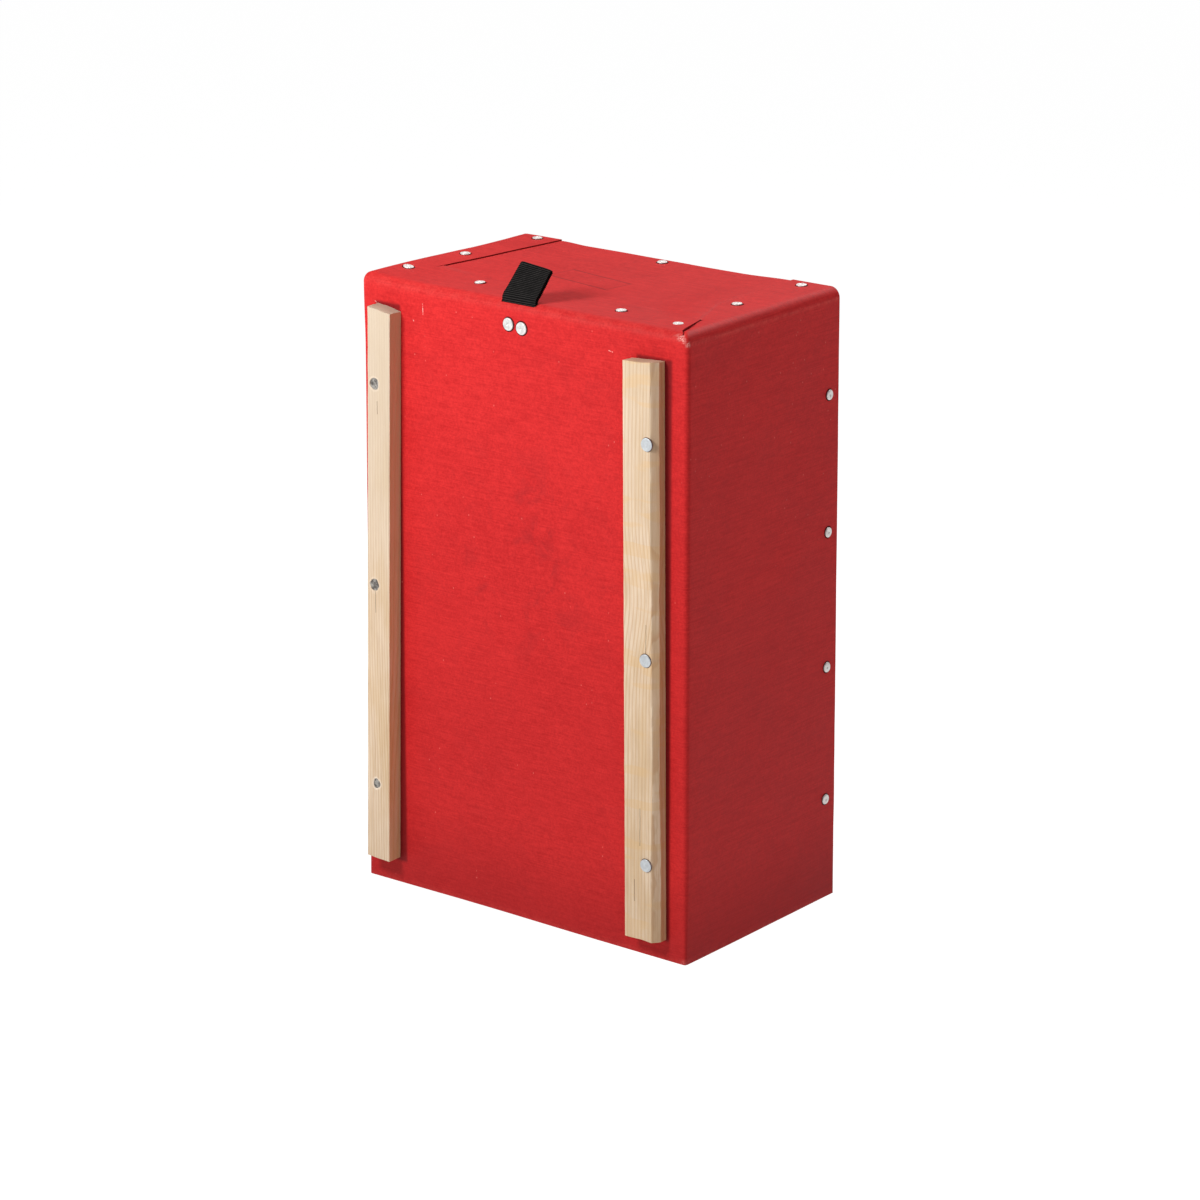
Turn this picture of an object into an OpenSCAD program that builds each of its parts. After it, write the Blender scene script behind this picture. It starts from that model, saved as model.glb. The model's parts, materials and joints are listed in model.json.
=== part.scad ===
// Tall riveted fibre box with two wooden runners on its front and a webbing pull loop at its closed end.
// The box stands on its open end. +Z is up, the runners face -Y, and X runs along the front.
// The origin is the centre of the whole object's footprint, on the surface that it stands on.

/* [Box] */
// Width of the box
body_w = 352; // [300:1:420]
// Depth of the box, without the runners
body_d = 213; // [180:1:260]
// Height of the box
body_h = 550; // [540:1:640]
// Thickness of the fibre sheet
sheet_t = 2.2; // [1.5:0.1:2.6]
// Outer radius of the two upright folds
side_fold_r = 5; // [4:0.5:8]
// Outer radius of the folds around the closed end
end_fold_r = 9; // [8:0.5:12]

/* [Closed end] */
// Depth at which the end wall has sunk to lie under the side tabs
sink_depth = 64; // [55:1:75]
// Width of the left tab at its front
left_tab_front = 27; // [24:1:30]
// Width of both tabs at the back edge
tab_back = 49; // [46:1:56]
// Width of the slit beside the right front corner
slit_w = 0.9; // [0.5:0.1:1.5]

/* [Back panel] */
// Width of the flanges inside the side walls
flange_w = 26; // [24:1:34]
// Outer radius of the back panel's folds
back_fold_r = 6; // [5:0.5:7]
// Distance from the front of the box to the free edge of the inner end flap
flap_front = 19; // [17:1:20]

/* [Runners] */
// Width of the left runner
left_runner_w = 25; // [24:1:30]
// Thickness of the left runner
left_runner_t = 15; // [12:0.5:18]
// Width of the right runner
right_runner_w = 34; // [30:1:38]
// Thickness of the right runner
right_runner_t = 13; // [11:0.5:16]
// Wane along the outer front edge of the right runner
right_runner_wane = 5; // [3:0.5:6]
// Length of each runner
runner_len = 507; // [500:1:515]

/* [Pull loop] */
// Width of the webbing
webbing_w = 36; // [30:1:40]
// Thickness of the folded webbing, both layers together
loop_t = 5; // [4:0.2:5.2]
// Length of the loop above the end wall
loop_len = 33.5; // [25:0.5:50]
// Angle by which the loop leans back from upright
loop_lean = 42.5; // [0:0.5:60]

/* [Rivets] */
// Head diameter of the box rivets
rivet_head_d = 10; // [9.5:0.5:11]
// Head diameter of the rivets in the runners and the loop
large_head_d = 11.5; // [10.5:0.5:12.5]
// Thickness of every rivet head
head_t = 1.3; // [1:0.1:1.6]
// Shank diameter
shank_d = 4.8; // [4:0.1:5]
// Outer diameter of the washers inside the box
burr_d = 9; // [8.5:0.1:9.2]

/* [Hidden] */
$fn = 96;

half_w = body_w / 2;
sheet_gap = 0.15;                       // between sheets that lie side by side
hole_d = shank_d + 0.2;
burr_t = 1;
roll_d = shank_d + 2.6;                 // clenched end of a rivet
roll_t = 1.2;
over = 1;                               // overrun of cuts past a face

// The box is centred over the footprint of box, runners and rivet heads.
front_reach = max(left_runner_t, right_runner_t + head_t);
y_shift = (front_reach - body_d) / 2;

// End wall: flush with the tabs at the front fold, one sheet lower behind sink_depth.
sink_angle = atan(sheet_t / (sink_depth - end_fold_r));
function end_z(y) = body_h - sheet_t * min(1, max(0, (y - end_fold_r) / (sink_depth - end_fold_r)));
end_half_w = half_w - end_fold_r;
flap_half_w = end_half_w - 1;

// Free edges of the two tabs, as [inset from the side wall, depth].
left_tab = [[left_tab_front, end_fold_r], [tab_back, body_d]];
right_tab = [[12.8, end_fold_r], [23.6, 49], [44, 100], [tab_back, body_d]];
slit_line = [[11.5, 6.5], [23.6, 49]];

// Back panel, inside the walls.
back_half_w = half_w - sheet_t - sheet_gap;
back_top = body_h - 2 * sheet_t;
back_corner_r = end_fold_r - 2;
flange_top = body_h - 15;

// Runners, as the lower corner of each back face.
left_runner_at = [-half_w + 15, 22.5];
right_runner_at = [half_w - 19.5 - right_runner_w, 18];

// Pull loop: the webbing comes through a slot at the front fold and turns about loop_axis.
loop_x = -5;
slot_y = [2.7, 8.7];
slot_w = webbing_w + 3;
tail_bend = [body_h - 11.5, body_h - 4.5];  // heights between which the tails lean back to the slot
tail_low = body_h - 42;
running_gap = 0.3;
loop_axis = [5.7, body_h + loop_t / 2 + 0.5];
layer_gap = 0.5;
tail_y = sheet_t + 0.1;

// Rivets. On the end wall: [inset from the side wall, depth]; elsewhere [x, z] or heights.
left_end_at = [[17.5, 41], [20, 114], [29, 203]];
right_end_at = [[30, 26], [32, 110], [30, 199]];
front_end_at = [[-79.5, 42], [79.5, 35]];
back_end_at = [-6.5, 203];
side_rivet_y = body_d - 13.5;
side_rivet_z = [for (i = [0:3]) 93 + 122 * i];
left_runner_rivet_at = [[-151, 95], [-153.5, 279], [-151, 460]];
pocket_t = head_t + 0.3;                // the left runner's heads are driven in below its face
pocket_d = large_head_d + 0.6;
right_runner_rivet_at = [[144, 87], [143, 268.5], [144, 455]];
loop_rivet_at = [[loop_x - 8.3, body_h - 19.6], [loop_x + 6, body_h - 21.2]];

fibre_red = [0.84, 0.16, 0.16];
pine = [0.93, 0.82, 0.66];
zinc = [0.8, 0.81, 0.8];
webbing_black = [0.09, 0.08, 0.08];

// Moves the box from its own front-panel frame to the object's frame.
module placed() {
    translate([0, y_shift, 0]) children();
}

// Rectangle from lo to hi with corner radii r: lower left, lower right, upper right, upper left.
module rounded_rect(lo, hi, r) {
    corners = [[lo.x, lo.y, 180], [hi.x, lo.y, 270], [hi.x, hi.y, 0], [lo.x, hi.y, 90]];
    difference() {
        translate(lo) square(hi - lo);
        for (i = [0:3]) {
            if (r[i] > 0) {
                translate([corners[i].x, corners[i].y]) rotate(corners[i].z)
                    translate([-r[i], -r[i]])
                        difference() {
                            square(r[i] + over);
                            circle(r[i]);
                        }
            }
        }
    }
}

// Extrudes a Y-Z outline along X, centred, to a half width.
module across(half) {
    rotate([90, 0, 90]) translate([0, 0, -half]) linear_extrude(2 * half) children();
}

// Extrudes an X-Z outline along Y, from y0 to y1.
module along_depth(y0, y1) {
    translate([0, y1, 0]) rotate([90, 0, 0]) linear_extrude(y1 - y0) children();
}

// Solid bounded by the folded box's walls, moved in by inset. The back and the bottom run past when inset.
module box_envelope(inset) {
    past = inset > 0 ? over : 0;
    v = side_fold_r - inset;
    e = end_fold_r - inset;
    top = body_h - inset;
    intersection() {
        translate([0, 0, -past]) linear_extrude(top + past)
            rounded_rect([-half_w + inset, inset], [half_w - inset, body_d + past], [v, v, 0, 0]);
        along_depth(-over, body_d + over)
            rounded_rect([-half_w + inset, -past], [half_w - inset, top], [0, 0, e, e]);
        across(half_w)
            rounded_rect([inset, -past], [body_d + past, top], [0, 0, 0, e]);
    }
}

// Sheet that sinks from the front fold to lie one sheet lower, its top face moved down by drop.
module sunk_sheet(from_y, drop, half) {
    top = [[from_y, end_z(from_y) - drop], [sink_depth, body_h - sheet_t - drop],
           [body_d, body_h - sheet_t - drop]];
    across(half) polygon(concat(top, [for (i = [2:-1:0]) top[i] - [0, sheet_t]]));
}

// Plan outline between the two tabs' free edges.
module between_tabs() {
    left = [for (p = left_tab) [-half_w + p.x, p.y]];
    right = [for (i = [len(right_tab) - 1:-1:0]) [half_w - right_tab[i].x, right_tab[i].y]];
    polygon(concat(
        left, [[-half_w + tab_back, body_d + over], [half_w - tab_back, body_d + over]], right
    ));
}

// Puts children on the front wall, pointing out of it, at height z.
module on_front(x, z, y = 0) {
    translate([x, y, z]) rotate([90, 0, 0]) children();
}

// Puts children on a side wall, pointing out of it. side is -1 for left and 1 for right.
module on_side(side, z) {
    translate([side * half_w, side_rivet_y, z]) rotate([0, 90 * side, 0]) children();
}

// Puts children on the end wall, square to its slope.
module on_end(x, y) {
    translate([x, y, end_z(y)]) rotate([y < sink_depth ? -sink_angle : 0, 0, 0]) children();
}

// Puts children on the top of a side tab.
module on_tab(x, y) {
    translate([x, y, body_h]) children();
}

// A rivet pointing up, its head's underside at zero, through a stack of sheets and a washer.
module rivet(head_d, stack) {
    r = head_d / 2;
    tail = -stack - burr_t;
    dimple = 1.3;
    color(zinc) rotate_extrude() polygon([
        [0, tail - roll_t / 2], [shank_d / 4, tail - roll_t], [roll_d / 2 - 0.5, tail - roll_t],
        [roll_d / 2, tail - roll_t / 2], [roll_d / 2 - 0.2, tail], [shank_d / 2, tail],
        [shank_d / 2, 0], [r - 0.2, 0], [r, 0.3], [r - 0.25, head_t * 0.7], [r - 1.1, head_t],
        [dimple + 0.5, head_t * 0.9], [dimple, head_t * 0.35], [0, head_t * 0.3],
    ]);
}

// The washer under a rivet's clenched end, below a stack of sheets.
module burr(stack) {
    color(zinc) translate([0, 0, -stack - burr_t]) difference() {
        cylinder(d = burr_d, h = burr_t);
        translate([0, 0, -over]) cylinder(d = hole_d, h = burr_t + 2 * over);
    }
}

// Clears a rivet's way through a stack of sheets.
module rivet_hole(depth) {
    translate([0, 0, -depth - over]) cylinder(d = hole_d, h = depth + 3 * over);
}

// Stacks of sheet under each group of heads.
two_sheets = 2 * sheet_t;
tab_stack = 3 * sheet_t;
side_stack = two_sheets + sheet_gap;
loop_stack = tail_y + loop_t;
function front_tab_stack(y) = body_h - end_z(y + burr_d / 2) + two_sheets;

// Rivet places on the end wall, one module per group, so that rivets, washers and holes agree.
module left_end_places(i) {
    p = left_end_at[i];
    on_tab(-half_w + p.x, p.y) children();
}

module right_end_places(i) {
    p = right_end_at[i];
    if (i == 0) on_end(half_w - p.x, p.y) children();
    else on_tab(half_w - p.x, p.y) children();
}

module end_holes() {
    for (i = [0:2]) {
        left_end_places(i) rivet_hole(tab_stack);
        right_end_places(i) rivet_hole(tab_stack);
    }
    for (p = front_end_at) on_end(p.x, p.y) rivet_hole(tab_stack);
    on_end(back_end_at.x, back_end_at.y) rivet_hole(tab_stack);
}

module side_holes() {
    for (side = [-1, 1], z = side_rivet_z) on_side(side, z) rivet_hole(side_stack);
}

module outer_shell() {
    color(fibre_red) placed() difference() {
        union() {
            difference() {
                box_envelope(0);
                box_envelope(sheet_t);
                translate([0, 0, body_h - sheet_t - 0.01]) linear_extrude(sheet_t + over) between_tabs();
            }
            sunk_sheet(end_fold_r, 0, end_half_w);
        }
        // Slot for the webbing.
        translate([loop_x - slot_w / 2, slot_y[0], body_h - 8])
            cube([slot_w, slot_y[1] - slot_y[0], 8 + over]);
        // Slit beside the right front corner.
        slit();
        end_holes();
        side_holes();
        for (p = concat(left_runner_rivet_at, right_runner_rivet_at, loop_rivet_at))
            on_front(p.x, p.y) rivet_hole(sheet_t);
    }
}

// Narrow cut along slit_line, right through the sheet.
module slit() {
    a = slit_line[0];
    b = slit_line[1];
    run = norm(b - a);
    translate([half_w - a.x, a.y, body_h - 2 * sheet_t])
        rotate([0, 0, 90 + atan2(b.x - a.x, b.y - a.y)])
            translate([0, -slit_w / 2, 0]) cube([run, slit_w, 2 * sheet_t + over]);
}

// Solid bounded by the back panel's walls, moved in by inset. The front and the bottom run past.
module back_envelope(inset) {
    half = back_half_w - inset;
    top = back_top - inset;
    back = body_d - inset;
    v = back_fold_r - inset;
    past = inset > 0 ? over : 0;
    intersection() {
        translate([0, 0, -past]) linear_extrude(top + past)
            rounded_rect([-half, -past], [half, back], [0, 0, v, v]);
        along_depth(-over, body_d + over)
            rounded_rect([-half, -past], [half, top], [0, 0, back_corner_r - inset, back_corner_r - inset]);
        across(half_w)
            rounded_rect([-past, -past], [back, top], [0, 0, v, 0]);
    }
}

module back_panel() {
    color(fibre_red) placed() difference() {
        union() {
            difference() {
                back_envelope(0);
                back_envelope(sheet_t);
                // Side walls end at the flanges, and the folded top starts behind the sunk part.
                translate([-half_w, -over, -over]) cube([body_w, body_d - flange_w + over, flange_top + over]);
                translate([-half_w, -over, flange_top - over]) cube([body_w, sink_depth + over, 20]);
                for (side = [-1, 1])
                    translate([side * (flap_half_w + 10) - 10, -over, flange_top])
                        cube([20, body_d - back_fold_r + over, 20]);
            }
            intersection() {
                sunk_sheet(flap_front, sheet_t, flap_half_w);
                translate([-half_w, 0, 0]) cube([body_w, sink_depth + over, body_h]);
            }
        }
        end_holes();
        side_holes();
    }
}

// A sawn runner lying against the front wall, with an optional wane on its outer front edge.
module runner(at, w, t, wane) {
    color(pine) translate([at.x, 0, at.y]) linear_extrude(runner_len)
        polygon(wane > 0
            ? [[0, 0], [w, 0], [w, -t + wane], [w - wane, -t], [0, -t]]
            : [[0, 0], [w, 0], [w, -t], [0, -t]]);
}

module runner_left() {
    placed() difference() {
        runner(left_runner_at, left_runner_w, left_runner_t, 0);
        for (p = left_runner_rivet_at) on_front(p.x, p.y, -left_runner_t) {
            rivet_hole(left_runner_t);
            translate([0, 0, -pocket_t]) cylinder(d = pocket_d, h = pocket_t + over);
        }
    }
}

module runner_right() {
    placed() difference() {
        runner(right_runner_at, right_runner_w, right_runner_t, right_runner_wane);
        for (p = right_runner_rivet_at) on_front(p.x, p.y, -right_runner_t) rivet_hole(right_runner_t);
    }
}

// Outline of a strip with round ends, standing up from the origin.
module strip(t, length) {
    circle(d = t);
    translate([-t / 2, 0]) square([t, length]);
    translate([0, length]) circle(d = t);
}

module pull_loop() {
    color(webbing_black) placed() translate([loop_x, loop_axis[0], loop_axis[1]])
        rotate([-loop_lean, 0, 0]) across(webbing_w / 2) difference() {
            strip(loop_t, loop_len - loop_t / 2);
            translate([0, loop_t / 2]) strip(layer_gap, loop_len - 1.5 * loop_t);
        }
}

// The loop's two ends inside the box, lying together on the front wall.
module loop_tails() {
    front = [[tail_y, tail_low], [tail_y, tail_bend[0]],
             [loop_axis[0] - loop_t / 2, tail_bend[1]],
             [loop_axis[0] - loop_t / 2, loop_axis[1] - loop_t / 2 - running_gap]];
    color(webbing_black) placed() difference() {
        translate([loop_x, 0, 0]) across(webbing_w / 2)
            polygon(concat(front, [for (i = [3:-1:0]) front[i] + [loop_t, 0]]));
        for (p = loop_rivet_at) on_front(p.x, p.y) rivet_hole(loop_stack);
    }
}

module loop_rivets() {
    placed() for (p = loop_rivet_at) on_front(p.x, p.y) rivet(large_head_d, loop_stack);
}

module loop_burrs() {
    placed() for (p = loop_rivet_at) on_front(p.x, p.y) burr(loop_stack);
}

function left_end_stack(i) = i == 0 ? front_tab_stack(left_end_at[0].y) : tab_stack;
function right_end_stack(i) = i == 0 ? two_sheets : tab_stack;

module left_end_rivets() {
    placed() for (i = [0:2]) left_end_places(i) rivet(rivet_head_d, left_end_stack(i));
}

module left_end_burrs() {
    placed() for (i = [0:2]) left_end_places(i) burr(left_end_stack(i));
}

module right_end_rivets() {
    placed() for (i = [0:2]) right_end_places(i) rivet(rivet_head_d, right_end_stack(i));
}

module right_end_burrs() {
    placed() for (i = [0:2]) right_end_places(i) burr(right_end_stack(i));
}

module front_end_rivets() {
    placed() for (p = front_end_at) on_end(p.x, p.y) rivet(rivet_head_d, two_sheets);
}

module front_end_burrs() {
    placed() for (p = front_end_at) on_end(p.x, p.y) burr(two_sheets);
}

module back_end_rivet() {
    placed() on_end(back_end_at.x, back_end_at.y) rivet(rivet_head_d, two_sheets);
}

module back_end_burr() {
    placed() on_end(back_end_at.x, back_end_at.y) burr(two_sheets);
}

module side_rivets(side) {
    placed() for (z = side_rivet_z) on_side(side, z) rivet(rivet_head_d, side_stack);
}

module side_burrs(side) {
    placed() for (z = side_rivet_z) on_side(side, z) burr(side_stack);
}

module left_side_rivets() {
    side_rivets(-1);
}

module left_side_burrs() {
    side_burrs(-1);
}

module right_side_rivets() {
    side_rivets(1);
}

module right_side_burrs() {
    side_burrs(1);
}

module left_runner_rivets() {
    placed() for (p = left_runner_rivet_at)
        on_front(p.x, p.y, -left_runner_t + pocket_t) rivet(large_head_d, left_runner_t + sheet_t - pocket_t);
}

module left_runner_burrs() {
    placed() for (p = left_runner_rivet_at)
        on_front(p.x, p.y, -left_runner_t) burr(left_runner_t + sheet_t);
}

module right_runner_rivets() {
    placed() for (p = right_runner_rivet_at)
        on_front(p.x, p.y, -right_runner_t) rivet(large_head_d, right_runner_t + sheet_t);
}

module right_runner_burrs() {
    placed() for (p = right_runner_rivet_at)
        on_front(p.x, p.y, -right_runner_t) burr(right_runner_t + sheet_t);
}

outer_shell();
back_panel();
runner_left();
runner_right();
pull_loop();
loop_tails();
loop_rivets();
loop_burrs();
left_end_rivets();
left_end_burrs();
right_end_rivets();
right_end_burrs();
front_end_rivets();
front_end_burrs();
back_end_rivet();
back_end_burr();
left_side_rivets();
left_side_burrs();
right_side_rivets();
right_side_burrs();
left_runner_rivets();
left_runner_burrs();
right_runner_rivets();
right_runner_burrs();
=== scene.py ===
import json
import math

import bmesh
import bpy
import numpy as np
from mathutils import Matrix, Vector, noise


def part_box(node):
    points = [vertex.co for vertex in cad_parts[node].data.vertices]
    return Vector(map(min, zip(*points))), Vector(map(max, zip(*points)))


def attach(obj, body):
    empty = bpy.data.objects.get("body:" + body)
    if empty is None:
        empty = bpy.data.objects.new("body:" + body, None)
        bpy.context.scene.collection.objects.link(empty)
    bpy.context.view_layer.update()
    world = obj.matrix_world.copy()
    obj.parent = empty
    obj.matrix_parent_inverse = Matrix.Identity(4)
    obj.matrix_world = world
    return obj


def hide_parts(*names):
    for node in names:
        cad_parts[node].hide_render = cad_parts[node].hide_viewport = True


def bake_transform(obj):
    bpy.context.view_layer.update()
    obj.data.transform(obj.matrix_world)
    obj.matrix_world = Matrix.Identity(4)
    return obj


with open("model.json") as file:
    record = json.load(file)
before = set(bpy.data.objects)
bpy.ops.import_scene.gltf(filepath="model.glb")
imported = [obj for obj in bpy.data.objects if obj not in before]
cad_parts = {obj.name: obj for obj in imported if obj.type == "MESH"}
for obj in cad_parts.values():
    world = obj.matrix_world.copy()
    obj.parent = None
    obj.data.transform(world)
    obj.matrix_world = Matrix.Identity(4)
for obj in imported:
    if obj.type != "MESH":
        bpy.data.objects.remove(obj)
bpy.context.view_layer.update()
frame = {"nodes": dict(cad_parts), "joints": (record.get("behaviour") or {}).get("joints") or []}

MM = 0.001
BOX_BODY = "box"

# Sizes of the fibre box, in metres and in the frame's own axes. Depths run back from the front wall.
SHELL_LO, SHELL_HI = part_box("outer_shell")
HALF_W = (SHELL_HI.x - SHELL_LO.x) / 2
FRONT_Y = SHELL_LO.y
DEPTH = SHELL_HI.y - SHELL_LO.y
MID_Y = FRONT_Y + DEPTH / 2
TOP_Z = SHELL_HI.z
SHEET = 2.2 * MM
SIDE_FOLD_R = 5 * MM
END_FOLD_R = 9 * MM
SINK_DEPTH = 64 * MM
TAB_STEP = SHEET + 0.1 * MM
FLANGE_W = 26 * MM
FLANGE_TOP = TOP_Z - 15 * MM
BACK_HALF_W = HALF_W - SHEET - 0.15 * MM
BACK_FOLD_R = 6 * MM
FLAP_FRONT = 19 * MM
LEFT_TAB = [(27 * MM, END_FOLD_R), (49 * MM, DEPTH)]
RIGHT_TAB = [(12.8 * MM, END_FOLD_R), (23.6 * MM, 49 * MM), (44 * MM, 100 * MM), (49 * MM, DEPTH)]
HEAD_T = 1.3 * MM
LOOP_AXIS = Vector(frame["joints"][0]["pos_m"])

# How far the hand-built box is out of true.
FLARE_X = 0.011
FLARE_Y = 0.014
TALLER = 0.0030
LIFT = 1.5 * MM


def smooth(a, b, x):
    """Smooth step from 0 at a to 1 at b, which may be below a."""
    t = np.clip((x - a) / (b - a), 0.0, 1.0)
    return t * t * (3 - 2 * t)


def ease(a, b, x):
    return float(smooth(a, b, x))


def steps(a, b, count):
    return [a + (b - a) * i / count for i in range(count + 1)]


def settle(points):
    """Flares points to the box's open end, and raises its left, its back and its left front corner."""
    x, y, z = np.array(points, float).T
    low = np.clip(1 - z / TOP_Z, 0, 1)
    left = x + HALF_W
    depth = y - FRONT_Y
    high = smooth(TOP_Z - 60 * MM, TOP_Z - END_FOLD_R, z)
    front = 1 - smooth(15 * MM, 190 * MM, depth)
    raised = 1.2 * MM * smooth(60 * MM, 10 * MM, left) + 2.0 * MM * smooth(22 * MM, 6 * MM, left)
    out_x = x * (1 + FLARE_X * low) - 1.0 * MM * high * front * smooth(30 * MM, 0, left)
    out_y = MID_Y + (y - MID_Y) * (1 + FLARE_Y * low)
    lift = LIFT * smooth(0, 250 * MM, np.hypot(HALF_W - x, depth)) * smooth(130 * MM, 0, z)
    taller = 1 + TALLER * (0.45 * np.clip(depth / DEPTH, 0, 1) + 0.55 * (0.5 - 0.5 * x / HALF_W))
    return np.stack([out_x, out_y, z * taller + raised * high * front + lift], 1)


# -------- meshes

def add_object(name, data):
    thing = bpy.data.objects.new(name, data)
    bpy.context.scene.collection.objects.link(thing)
    return thing


def new_mesh(name, verts, faces, stands_for, materials, sharp=40, closed=True, body=BOX_BODY):
    """A piece with these vertices and faces that rides on a body and replaces CAD nodes."""
    mesh = bpy.data.meshes.new(name)
    mesh.from_pydata([tuple(v) for v in verts], [], faces)
    mesh.validate()
    piece = add_object(name, mesh)
    for material in materials:
        mesh.materials.append(material)
    if closed:
        face_outward(mesh)
    shade(piece, sharp)
    if body:
        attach(piece, body)
    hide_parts(*stands_for)
    return piece


def face_outward(mesh):
    work = bmesh.new()
    work.from_mesh(mesh)
    bmesh.ops.recalc_face_normals(work, faces=work.faces)
    work.to_mesh(mesh)
    work.free()


def shade(piece, angle):
    """Smooth shading, with edges sharper than angle (degrees) kept crisp."""
    mesh = piece.data
    mesh.polygons.foreach_set("use_smooth", [True] * len(mesh.polygons))
    mesh.set_sharp_from_angle(angle=math.radians(angle))
    mesh.update()


def points_of(mesh):
    return np.array([v.co for v in mesh.vertices])


def set_values(mesh, name, values):
    """A value at each point, for the materials to read."""
    attribute = mesh.attributes.new(name, "FLOAT", "POINT")
    attribute.data.foreach_set("value", np.array(values, np.float32))


def modify(piece, kind, **settings):
    """Adds a modifier and applies it to the mesh at once."""
    modifier = piece.modifiers.new(kind.lower(), kind)
    for key, value in settings.items():
        setattr(modifier, key, value)
    graph = bpy.context.evaluated_depsgraph_get()
    made = bpy.data.meshes.new_from_object(piece.evaluated_get(graph))
    piece.modifiers.clear()
    old = piece.data
    piece.data = made
    bpy.data.meshes.remove(old)


def node_islands(node):
    """The separate solids of a CAD node, each as an array of its points."""
    mesh = frame["nodes"][node].data
    keys = {}
    merged = [keys.setdefault(tuple(round(c, 6) for c in v.co), len(keys)) for v in mesh.vertices]
    parent = list(range(len(keys)))

    def find(i):
        while parent[i] != i:
            parent[i] = parent[parent[i]]
            i = parent[i]
        return i

    for edge in mesh.edges:
        a, b = (find(merged[i]) for i in edge.vertices)
        parent[a] = b
    groups = {}
    for i, vertex in enumerate(mesh.vertices):
        groups.setdefault(find(merged[i]), []).append(tuple(vertex.co))
    return [np.array(g) for g in groups.values()]


def fasteners(node, outward):
    """For each rivet of a CAD node: the centre of its head's face, its outward axis and its length."""
    found = []
    for points in node_islands(node):
        along = points @ np.array(outward, float)
        head = points[along > along.max() - 0.9 * MM].mean(0)
        tail = points[along < along.min() + 0.9 * MM].mean(0)
        axis = Vector(head - tail).normalized()
        reach = points @ np.array(axis)
        middle = Vector((points.max(0) + points.min(0)) / 2)
        top = middle + axis * (reach.max() - middle.dot(axis))
        found.append((top, axis, reach.max() - reach.min()))
    found.sort(key=lambda f: tuple(round(c, 4) for c in f[0]))
    return found


# Which way the heads of each group of rivets face.
END_RIVETS = ["left_end_rivets", "right_end_rivets", "front_end_rivets", "back_end_rivet"]
FRONT_RIVETS = ["loop_rivets", "left_runner_rivets", "right_runner_rivets"]
RIVET_GROUPS = {
    **dict.fromkeys(END_RIVETS, (0, 0, 1)),
    "left_side_rivets": (-1, 0, 0),
    "right_side_rivets": (1, 0, 0),
    **dict.fromkeys(FRONT_RIVETS, (0, -1, 0)),
}
RIVETS = {name: fasteners(name, out) for name, out in RIVET_GROUPS.items()}
RIVET_POINTS = np.array([f[0] for group in RIVETS.values() for f in group])


# -------- materials

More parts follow.
